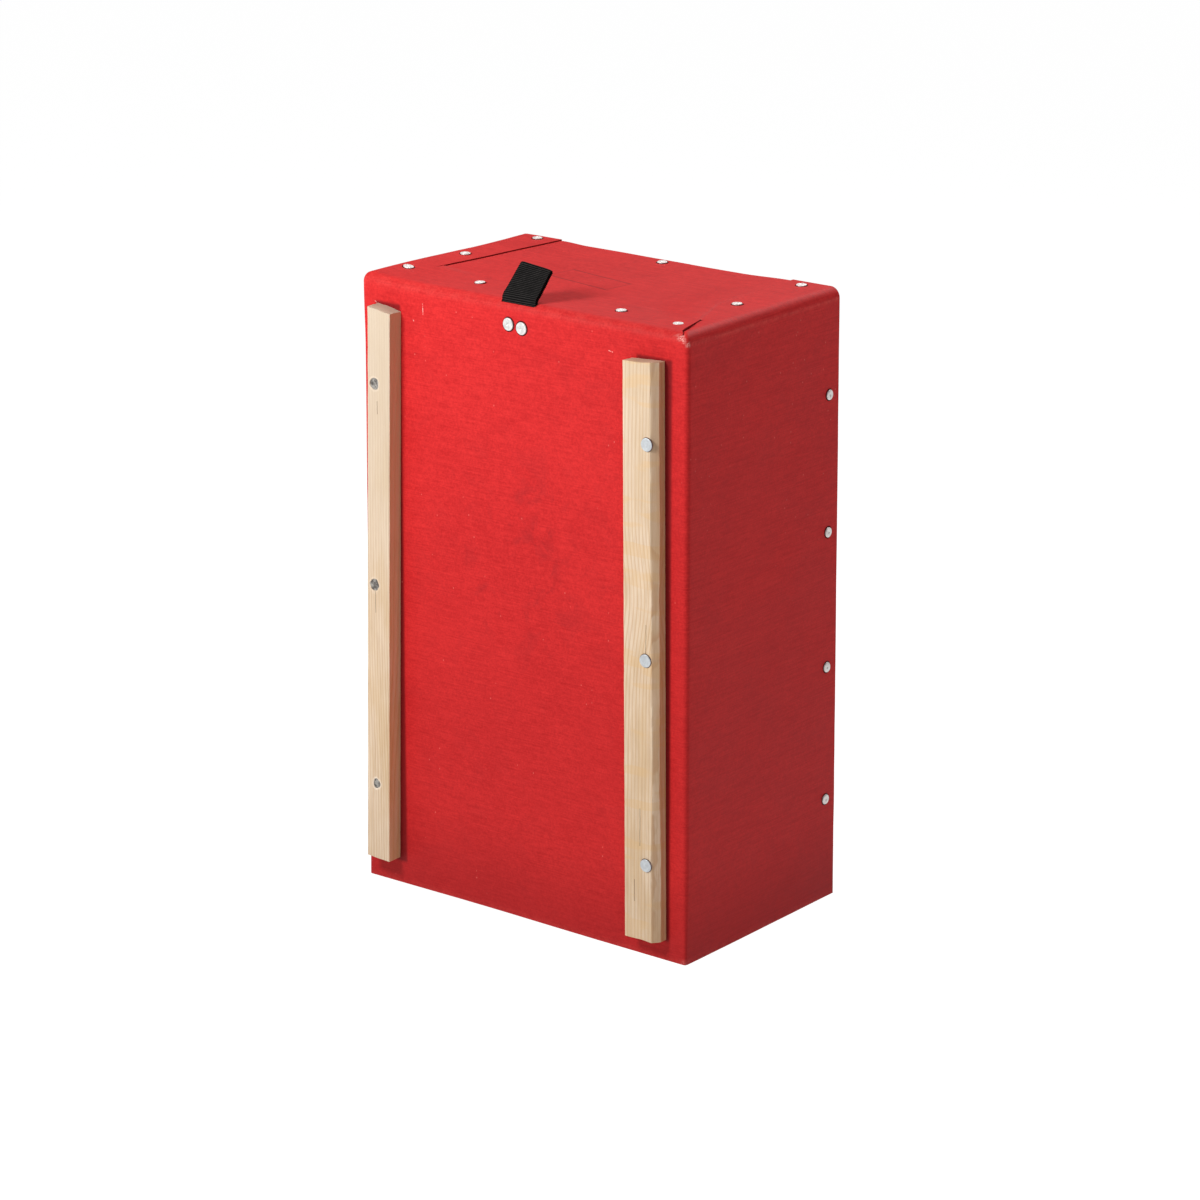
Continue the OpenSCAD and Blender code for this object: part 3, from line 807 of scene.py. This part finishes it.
def folded_shell():
    """Front, sides, end wall and corner tabs, folded from one sheet."""
    grid = SheetGrid()
    build_wrap(grid)
    build_end(grid)
    slot_half = 18.6 * MM

    def in_slot(c):
        across = abs(c[0] - LOOP_AXIS.x) < slot_half
        return across and 3.0 * MM < c[1] - FRONT_Y < 8.6 * MM and c[2] > TOP_Z - 8 * MM

    grid.drop(in_slot)
    piece = new_mesh("folded_shell", grid.points, grid.faces, ["outer_shell"],
                     SHEET_SIDES, closed=False)
    thicken(piece, 0.55 * MM, 1.0)
    paint(piece, [
        ((HALF_W - 10.5 * MM, FRONT_Y + 3.0 * MM, TOP_Z - 3.0 * MM), 3.0 * MM, 1.0),
        ((HALF_W - 7.5 * MM, FRONT_Y + 2.4 * MM, TOP_Z - 4.6 * MM), 3.4 * MM, 0.9),
        ((HALF_W - 4.8 * MM, FRONT_Y + 2.2 * MM, TOP_Z - 6.6 * MM), 3.2 * MM, 0.9),
        ((HALF_W - 2.2 * MM, FRONT_Y + 2.6 * MM, TOP_Z - 8.8 * MM), 3.0 * MM, 0.8),
        ((HALF_W - 1 * MM, FRONT_Y + 1 * MM, 0.5 * MM), 4 * MM, 0.35),
    ])


def back_panel():
    """The back: a sheet with flanges inside the side walls and a flap under the end wall."""
    grid = SheetGrid()
    back = FRONT_Y + DEPTH
    flat = BACK_HALF_W - BACK_FOLD_R
    columns = steps(-flat, flat, 60)
    top = TOP_Z - 2 * TAB_STEP
    flange = steps(DEPTH - FLANGE_W, DEPTH - BACK_FOLD_R, 5)
    rows = []
    fold = [(flat + BACK_FOLD_R * math.cos(a), back - BACK_FOLD_R * (1 - math.sin(a))) for a in ARC]
    for z in steps(0, FLANGE_TOP, 96):
        row = [(BACK_HALF_W, FRONT_Y + d, z) for d in flange]
        row += [(x, y, z) for x, y in fold[1:]]
        row += [(x, back, z) for x in reversed(columns[:-1])]
        row += [(-x, y, z) for x, y in reversed(fold[:-1])]
        row += [(-BACK_HALF_W, FRONT_Y + d, z) for d in reversed(flange[:-1])]
        rows.append(row)
    grid.patch(rows)
    cap = [[(x, back, z) for x in reversed(columns)] for z in steps(FLANGE_TOP, top - BACK_FOLD_R, 2)]
    for a in ARC[1:]:
        y = back - BACK_FOLD_R * (1 - math.cos(a))
        z = top - BACK_FOLD_R * (1 - math.sin(a))
        cap.append([(x, y, z) for x in reversed(columns)])
    for depth in reversed(steps(FLAP_FRONT, DEPTH - BACK_FOLD_R, 40)[:-1]):
        z = end_wall_z(depth, 1.0) - SHEET - 0.1 * MM
        cap.append([(x, FRONT_Y + depth, z) for x in reversed(columns)])
    grid.patch(cap)
    piece = new_mesh("folded_back", grid.points, grid.faces, ["back_panel"],
                     SHEET_SIDES, closed=False)
    thicken(piece, 0.45 * MM, 6.0)
    paint(piece)


folded_shell()
back_panel()


# -------- fasteners

def lathe(profile, top, axis, verts, faces, dark, segments=56):
    """Adds a turned shape. profile is (radius, height, dark) from its top centre, and dark marks the ring
    of dirt and painted shadow.
    """
    side = axis.orthogonal().normalized()
    other = axis.cross(side)
    rings = []
    for radius, height, _ in profile:
        if radius < 1e-9:
            rings.append([len(verts)])
            verts.append(top + axis * height)
            continue
        rings.append(list(range(len(verts), len(verts) + segments)))
        for k in range(segments):
            a = 2 * math.pi * k / segments
            verts.append(top + axis * height + (side * math.cos(a) + other * math.sin(a)) * radius)
    for i, (a, b) in enumerate(zip(rings, rings[1:])):
        for k in range(segments):
            k2 = (k + 1) % segments
            if len(a) == 1:
                face = [a[0], b[k], b[k2]]
            elif len(b) == 1:
                face = [a[k2], a[k], b[0]]
            else:
                face = [a[k], b[k], b[k2], a[k2]]
            dark.append(profile[i + 1][2])
            faces.append(face)


def rivet_profile(head_r, length, dimple, ring):
    """Turned outline of a rivet, from the middle of its head round to the middle of its clenched end."""
    crown = 0.20 * MM
    outline = [(0, 0)]
    if dimple:
        outline = [(0, -0.80 * MM), (0.55 * MM, -0.76 * MM), (0.95 * MM, -0.48 * MM),
                   (1.25 * MM, -0.14 * MM), (1.65 * MM, -0.01 * MM)]
    outline += [(head_r * t, -crown * t ** 2) for t in steps(0.38, 0.82, 4)]
    bevel = 0.45 * HEAD_T
    for a in steps(15, 90, 5):
        angle = math.radians(a)
        drop = bevel * (1 - math.cos(angle))
        outline.append((head_r - bevel + bevel * math.sin(angle), -crown * 0.8 - drop))
    outline += [(head_r, -HEAD_T + 0.20 * MM)]
    profile = [(r, h, 0) for r, h in outline]
    profile += [(head_r - 0.1 * MM, -HEAD_T + 0.18 * MM, 1), (head_r + ring, -HEAD_T + 0.12 * MM, 1)]
    profile += [(head_r + ring, -HEAD_T, 1), (2.4 * MM, -HEAD_T, 1), (2.4 * MM, -length + 1.2 * MM, 0)]
    for a in steps(0, 180, 8):
        angle = math.radians(a)
        radius = 2.8 * MM + 0.7 * MM * math.sin(angle)
        profile.append((radius, -length + 0.6 * MM * (1 + math.cos(angle)), 0))
    for radius, height in ((1.7, 0.5), (1.5, 1.6), (0, 1.8)):
        profile.append((radius * MM, -length + height * MM, 0))
    return profile


# Head radius in millimetres, whether the head is dimpled, and its finish. The small heads come first.
RIVET_LOOKS = dict.fromkeys(RIVET_GROUPS, (4.5, True, ZINC_BRIGHT))
RIVET_LOOKS["loop_rivets"] = (5.5, True, ZINC_SOFT)
RIVET_LOOKS["left_runner_rivets"] = (5.60, False, ZINC_DARK)
RIVET_LOOKS["right_runner_rivets"] = (5.75, False, ZINC_DULL)


def turned_rivets():
    """Every rivet as a turned piece, each set a little out of true."""
    chance = np.random.default_rng(7)
    for group, (head_r, dimple, material) in RIVET_LOOKS.items():
        verts, faces, dark = [], [], []
        for top, axis, length in RIVETS[group]:
            tilt = Vector(chance.normal(0, 0.020, 3))
            turned = (axis + tilt - axis * tilt.dot(axis)).normalized()
            if group == "left_runner_rivets":
                top = top + Vector((left_rivet_shift(top.z), 0, 0))
            ring = 0.35 * MM if "runner" in group else 1.0 * MM
            lathe(rivet_profile(head_r * MM, length, dimple, ring), top, turned, verts, faces, dark)
        piece = new_mesh(group + "_turned", settle(verts), faces, [group],
                         [material, GRIME_AND_SHADOW], 35)
        # The dark ring round each head is partly dirt and partly painted shadow.
        piece.data.polygons.foreach_set("material_index", dark)


def left_rivet_shift(z):
    """The lowest rivet follows the left runner, which leans."""
    return -2.6 * MM * (1 - ease(0.095, 0.279, z))


def washers():
    """The washers inside, moved with the box's walls."""
    for node, thing in list(frame["nodes"].items()):
        if "burr" not in node:
            continue
        points = points_of(thing.data)
        if node == "left_runner_burrs":
            points[:, 0] += [left_rivet_shift(z) for z in points[:, 2]]
        faces = [list(p.vertices) for p in thing.data.polygons]
        new_mesh(node + "_set", settle(points), faces, [node], [ZINC_DULL], 30)


turned_rivets()
washers()


# -------- runners

def rows_near(lo, hi, coarse, centres, reach, fine):
    """Stations from lo to hi, close together near the centres."""
    out = [lo]
    while out[-1] < hi:
        near = any(abs(out[-1] - c) < reach for c in centres)
        out.append(min(hi, out[-1] + (fine if near else coarse)))
    return out


class Runner:
    """A sawn lath on the front wall: its lean, its worn arrises, its waned edge and its rivet pockets."""

    def __init__(self, node, lean, wane, skew, seed):
        self.node = node
        self.lo, self.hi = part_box(node)
        self.lean = lean
        self.wane = wane
        self.skew = skew
        self.pockets = []
        self.seed = seed

    def rough(self, x, z, size):
        return noise.noise(Vector((x / size, self.seed, z / size)))

    def wane_start(self, z):
        """Distance of the wane's inner edge from the lath's outer edge."""
        ragged = ease(0.22, 0.12, z)
        slow = 1.1 * MM * noise.noise(Vector((self.seed, z * 16, 0.3)))
        quick = (0.35 + 0.8 * ragged) * MM * noise.noise(Vector((self.seed, z * 90, 5.3)))
        return self.wane + slow + quick

    def sunk(self, x, z):
        """How far the front face lies behind its flat plane."""
        lo, hi = self.lo, self.hi
        worn = 0.45 * MM + 0.35 * MM * self.rough(0, z, 0.018)
        depth = max(0.0, worn - (x - lo.x)) * 0.9
        if self.wane:
            past = x - (hi.x - self.wane_start(z))
            depth += max(0.0, past) * 1.02
        else:
            depth += max(0.0, worn - (hi.x - x)) * 0.9
        for radius, rim, _ in self.around_pockets(x, z):
            depth += 1.65 * MM * ease(rim + 0.7 * MM, rim, radius)
            depth -= 0.22 * MM * ease(rim + 3.0 * MM, rim + 1.0 * MM, radius) * (radius > rim)
        return depth + 0.07 * MM * (1 + self.rough(x, z * 0.25, 0.004))

    def around_pockets(self, x, z):
        """For each pocket: the distance to its middle, its ragged edge there, and if it's small."""
        for px, pz in self.pockets:
            turn = math.atan2(z - pz, x - px)
            ragged = noise.noise(Vector((math.cos(turn) * 1.4, math.sin(turn) * 1.4, pz * 90)))
            small = pz <= 0.15
            rim = (3.7 * MM if small else 4.9 * MM) + 0.9 * MM * ragged
            yield math.hypot((x - px) * 1.12, z - pz), rim, small

    def torn(self, x, z):
        """1 on the torn wood round a pocket."""
        value = 0.0
        for radius, rim, small in self.around_pockets(x, z):
            near = ease(rim + 2.8 * MM, rim + 1.2 * MM, radius) * (radius > rim)
            value = max(value, (1.0 if small else 0.35) * near)
        return value

    def end_shift(self, x, y, top):
        """The sawn ends are rough and not quite square: how far this point is drawn in."""
        across = (x - self.lo.x) / (self.hi.x - self.lo.x)
        foot, top_right, top_left = self.skew
        skew = top_right * across + top_left * (1 - across) if top else foot * (1 - across)
        return (0.5 + 0.5 * self.rough(x, y, 0.012)) * MM + skew

    def lean_at(self, z):
        t = (z - self.lo.z) / (self.hi.z - self.lo.z)
        return self.lean[0] + (self.lean[1] - self.lean[0]) * t

    def build(self, material):
        lo, hi = self.lo, self.hi
        rows = rows_near(lo.z, hi.z, 3.0 * MM, [p[1] for p in self.pockets], 9 * MM, 0.7 * MM)
        stations = steps(lo.x, hi.x, 40 if self.pockets else 30)
        thick = hi.y - lo.y
        sides = steps(0, 1, 4)
        verts, bark, torn = [], [], []
        for z in rows:
            front = [(x, lo.y + self.sunk(x, z)) for x in stations]
            start_r = front[-1][1]
            start_l = front[0][1]
            wobble = [0.18 * MM * self.rough(0.3 + k, z, 0.02) for k in range(3)]
            right = [(hi.x + w, start_r + (hi.y - start_r) * t) for w, t in zip(wobble, sides[1:-1])]
            back = [(x, hi.y) for x in reversed(stations)]
            left = [(lo.x - w, hi.y + (start_l - hi.y) * t) for w, t in zip(wobble, sides[1:-1])]
            at_foot = 1 - ease(lo.z, lo.z + 25 * MM, z)
            at_top = 1 - ease(hi.z, hi.z - 25 * MM, z)
            ends = at_foot - at_top
            for x, y in front + right + back + left:
                verts.append((x + self.lean_at(z), y, z + self.end_shift(x, y, ends < 0) * ends))
                waned = self.wane and x > hi.x - self.wane_start(z) + 0.2 * MM and y < hi.y - 0.2 * thick
                bark.append(1.0 if waned else 0.0)
                torn.append(self.torn(x, z) if y < lo.y + 0.3 * thick else 0.0)
        faces = self.skin(len(rows), len(stations), len(sides) - 2)
        piece = new_mesh("sawn_" + self.node, settle(verts), faces, [self.node],
                         [material], 30)
        set_values(piece.data, "bark", bark)
        set_values(piece.data, "torn", torn)

    def skin(self, row_count, n, s):
        """Faces of the lath: rings of 2 n + 2 s points, closed with a strip of quads at each end."""
        size = 2 * n + 2 * s
        faces = []
        for level in range(row_count - 1):
            for k in range(size):
                a = level * size + k
                b = level * size + (k + 1) % size
                faces.append([a, b, b + size, a + size])
        for base in (0, (row_count - 1) * size):
            for i in range(n - 1):
                far = n + s
                faces.append([base + i, base + i + 1, base + far + n - 2 - i, base + far + n - 1 - i])
            faces.append([base + n - 1] + [base + n + k for k in range(s)] + [base + n + s])
            faces.append([base + 2 * n + s - 1] + [base + 2 * n + s + k for k in range(s)] + [base])
        return faces


def runners():
    """Both laths. The left one's rivet heads sit in pockets, and the right one has a waned edge."""
    left = Runner("runner_left", (-4.2 * MM, 3.4 * MM), 0.0, (1.2 * MM, 5.4 * MM, 2.4 * MM), 2.0)
    for top, _, _ in RIVETS["left_runner_rivets"]:
        left.pockets.append((top.x + left_rivet_shift(top.z) - left.lean_at(top.z), top.z))
    left.build(PINE_LEFT)
    right = Runner("runner_right", (-1.1 * MM, -4.3 * MM), 5 * MM, (0.0, 0.0, 2.4 * MM), 9.0)
    right.build(PINE_RIGHT)


runners()


# -------- pull loop

STRAP_T = 2.25 * MM
STRAP_HALF = 18 * MM
RIB = 1.75 * MM
RIB_POINTS = 7
LAYER = 1.32 * MM
LOOP_LEAN = math.radians(42.5)
LOOP_REACH = 32.6 * MM


def strap_line():
    """Middle line of the webbing in the Y-Z plane, from one tail's end up round the tip to the other's."""
    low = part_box("loop_tails")[0].z + 1 * MM
    up = Vector((0, math.sin(LOOP_LEAN), math.cos(LOOP_LEAN)))
    across = Vector((0, math.cos(LOOP_LEAN), -math.sin(LOOP_LEAN)))
    tail = FRONT_Y + SHEET + 0.1 * MM + STRAP_T / 2
    pivot = Vector((0, LOOP_AXIS.y, LOOP_AXIS.z))
    tip = pivot + up * LOOP_REACH
    slot = Vector((0, LOOP_AXIS.y, TOP_Z - 3.5 * MM))

    def half(side):
        """One layer, from its tail's end to the tip. side is -1 for the front layer and 1 for the back."""
        tail_y = tail + (1 + side) * LAYER
        layer = across * LAYER * side
        line = [Vector((0, tail_y, z)) for z in (low, low + 14 * MM, TOP_Z - 12 * MM)]
        line += [slot + Vector((0, LAYER * side, 0)), pivot + layer, pivot + layer + up * 10 * MM]
        line += [tip + layer - up * 8 * MM, tip + layer - up * 1.0 * MM]
        return line + [tip + layer * 0.75 + up * 0.75 * MM]

    return half(-1) + [tip + up * 1.1 * MM] + half(1)[::-1], up


def resample(points, spacing):
    """Evenly spaced points along a smooth curve through these points."""
    dense = []
    for i in range(len(points) - 1):
        p0, p1 = points[max(i - 1, 0)], points[i]
        p2, p3 = points[i + 1], points[min(i + 2, len(points) - 1)]
        for t in steps(0, 1, 12)[:-1]:
            dense.append(0.5 * (2 * p1 + (p2 - p0) * t + (2 * p0 - 5 * p1 + 4 * p2 - p3) * t * t
                                + (3 * p1 - p0 - 3 * p2 + p3) * t ** 3))
    dense.append(points[-1])
    length = [0.0]
    for a, b in zip(dense, dense[1:]):
        length.append(length[-1] + (b - a).length)
    out = []
    for s in steps(0, length[-1], int(length[-1] / spacing)):
        i = min(max(int(np.searchsorted(length, s)) - 1, 0), len(dense) - 2)
        t = (s - length[i]) / max(length[i + 1] - length[i], 1e-9)
        out.append(dense[i].lerp(dense[i + 1], min(max(t, 0), 1)))
    return out


def webbing_loop():
    """One strip of ribbed webbing: both tails and the loop."""
    points, up = strap_line()
    line = resample(points, RIB / RIB_POINTS)
    stations = steps(-1, 1, 24)
    verts, faces, ribs, rings = [], [], [], []
    for i, p in enumerate(line):
        ahead = (line[min(i + 1, len(line) - 1)] - line[max(i - 1, 0)]).normalized()
        normal = Vector((1, 0, 0)).cross(ahead).normalized()
        wave = math.cos(2 * math.pi * i / RIB_POINTS)
        rise = max(0.0, (p - LOOP_AXIS).dot(up)) / LOOP_REACH
        wobble = 0.22 * MM * noise.noise(Vector((i * 0.03, 2.0, 5.0)))
        ring = []
        for side in (1, -1):
            for t in (stations if side == 1 else reversed(stations)):
                edge = abs(t) ** 8
                selvedge = 0.10 * MM * math.exp(-((abs(t) - 0.93) / 0.03) ** 2)
                ridge = 0.20 * MM * wave * (1 - 0.5 * edge)
                depth = (STRAP_T / 2 - 0.20 * MM + ridge + selvedge) * (1 - 0.42 * edge)
                inset = 1.7 * MM * rise * max(0.0, -t) ** 2 + 0.3 * MM * wave * edge * (1 if t < 0 else -1)
                x = LOOP_AXIS.x + STRAP_HALF * t + wobble + inset
                slant = -3.7 * MM * rise * (0.5 + 0.5 * t)
                ring.append(Vector((x, p.y, p.z)) + normal * side * depth + up * slant)
                ribs.append(0.5 + 0.5 * wave)
        rings.append(list(range(len(verts), len(verts) + len(ring))))
        verts += ring
    for a, b in zip(rings, rings[1:]):
        for k in range(len(a)):
            k2 = (k + 1) % len(a)
            faces.append([a[k], b[k], b[k2], a[k2]])
    faces.append(list(reversed(rings[0])))
    faces.append(rings[-1])
    piece = new_mesh("pull_webbing", verts, faces, ["pull_loop", "loop_tails"],
                     [webbing_material()], 60, body=None)
    set_values(piece.data, "rib", ribs)
    x, y, _ = LOOP_AXIS
    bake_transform(piece)


webbing_loop()


# -------- stage

def pale_floor():
    mesh = bpy.data.meshes.new("floor")
    size = 30
    corners = [(-size, -size, 0), (size, -size, 0), (size, size, 0), (-size, size, 0)]
    mesh.from_pydata(corners, [], [[0, 1, 2, 3]])
    floor = add_object("floor", mesh)
    n = Nodes("pale_floor")
    n.set(Base_Color=n.mix(n.noise(n.position(), 1.5), rgb(0.11, 0.11, 0.11), rgb(0.13, 0.13, 0.13)))
    n.set(Roughness=0.8, Emission_Color=rgb(1, 1, 1), Emission_Strength=0.985)
    mesh.materials.append(n.material)


def area_light(name, place, target, size, power):
    light = bpy.data.lights.new(name, "AREA")
    light.shape = "DISK"
    light.size = size
    light.energy = power
    lamp = add_object(name, light)
    lamp.location = place
    lamp.rotation_euler = (Vector(target) - Vector(place)).to_track_quat("-Z", "Y").to_euler()


def lights():
    """A close key from the front left, a card behind for the end wall's sheen, and a faint fill."""
    area_light("key", (-0.28, -0.90, 1.00), (0, 0, 0.36), 0.40, 11.8)
    area_light("back_card", (0.0, 1.05, 1.9), (0, 0, 0.5), 1.5, 31.5)
    world = bpy.data.worlds.new("studio")
    world.use_nodes = True
    background = world.node_tree.nodes["Background"]
    background.inputs["Color"].default_value = rgb(1, 1, 1)
    background.inputs["Strength"].default_value = 0.05
    bpy.context.scene.world = world


def camera():
    """A long lens from the front right, a little above the box."""
    data = bpy.data.cameras.new("camera")
    data.lens = 129.95
    data.sensor_width = 36
    data.clip_end = 100
    eye = add_object("camera", data)
    eye.location = (2.2472, -2.8324, 1.3778)
    eye.rotation_euler = (math.radians(72.923), math.radians(0.048), math.radians(38.337))
    bpy.context.scene.camera = eye


pale_floor()
lights()
camera()
bpy.context.scene.view_settings.view_transform = "Standard"
